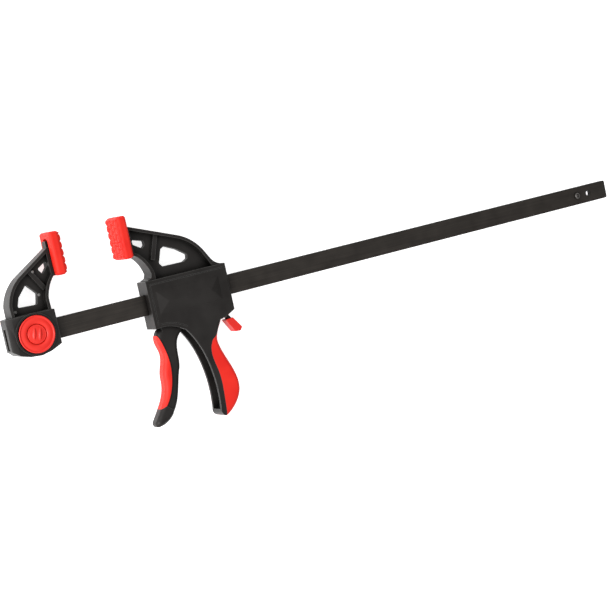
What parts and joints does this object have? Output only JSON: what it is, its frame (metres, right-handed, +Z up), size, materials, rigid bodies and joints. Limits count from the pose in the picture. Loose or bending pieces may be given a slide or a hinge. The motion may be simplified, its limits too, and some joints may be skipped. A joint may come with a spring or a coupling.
{
  "type": "one-hand bar clamp",
  "caption": "One-hand bar clamp with a trigger-driven sliding jaw, soft ribbed jaw pads, a detachable fixed jaw and a quick-release lever.",
  "frame": {"origin": "under the centre of the clamp's bounding box, at the level of the table it lies on", "axes": "+X along the bar from the fixed jaw to the free end, +Y towards the jaw tips, +Z up, square to the bar's flat side"},
  "size_m": [0.7384, 0.217, 0.029],
  "materials": {
    "black_nylon": "matte, fine moulded texture",
    "red_soft_grip": "matte soft overmoulding",
    "red_hard_plastic": "satin",
    "red_soft_pad": "matte soft moulding",
    "blackened_bar": "satin, blackened",
    "bright_steel": "satin"
  },
  "bodies": {
    "bar_and_fixed_jaw": {"bar": "blackened_bar", "stop_pin": "blackened_bar", "fixed_jaw": "black_nylon", "fixed_jaw_pad": "red_soft_pad", "knob_ring": "red_hard_plastic", "button_spring": "bright_steel"},
    "jaw_release": {"release_button": "red_hard_plastic", "crossbolts": "bright_steel"},
    "head": {"head_body": "black_nylon", "side_panels": "black_nylon", "moving_jaw_pad": "red_soft_pad", "handle_grip": "red_soft_grip", "trigger_pin": "bright_steel", "drive_spring": "bright_steel", "brake_spring": "bright_steel"},
    "trigger": {"trigger": "black_nylon", "trigger_grip": "red_soft_grip"},
    "drive": {"drive_plates": "bright_steel"},
    "brake": {"brake_lever": "blackened_bar", "release_cap": "red_hard_plastic"}
  },
  "joints": [
    {"name": "head_slide", "type": "slide", "parent": "bar_and_fixed_jaw", "child": "head", "axis": [1, 0, 0], "range_m": [-0.0574, 0.4565]},
    {"name": "jaw_release_press", "type": "slide", "parent": "bar_and_fixed_jaw", "child": "jaw_release", "axis": [0, 0, -1], "range_m": [0, 0.0054], "stiffness_N_per_m": 600, "springref_m": -0.004, "deforming": ["button_spring"]},
    {"name": "trigger_squeeze", "type": "hinge", "parent": "head", "child": "trigger", "pos_m": [-0.21175, 0.032, 0.0145], "axis": [0, 0, 1], "range_deg": [0, 17], "stiffness_Nm_per_rad": 0.8, "springref_deg": -14.32},
    {"name": "drive_stroke", "type": "slide", "parent": "head", "child": "drive", "axis": [1, 0, 0], "range_m": [0, 0.0048], "deforming": ["drive_spring"]},
    {"name": "brake_release", "type": "hinge", "parent": "head", "child": "brake", "pos_m": [-0.14225, -0.011, 0.0145], "axis": [0, 0, -1], "range_deg": [0, 5], "stiffness_Nm_per_rad": 1.5, "springref_deg": -5.73, "deforming": ["brake_spring"]}
  ],
  "couplings": [
    {"joint": "drive_stroke", "follows": "trigger_squeeze", "m_per_rad": 0.0158}
  ]
}
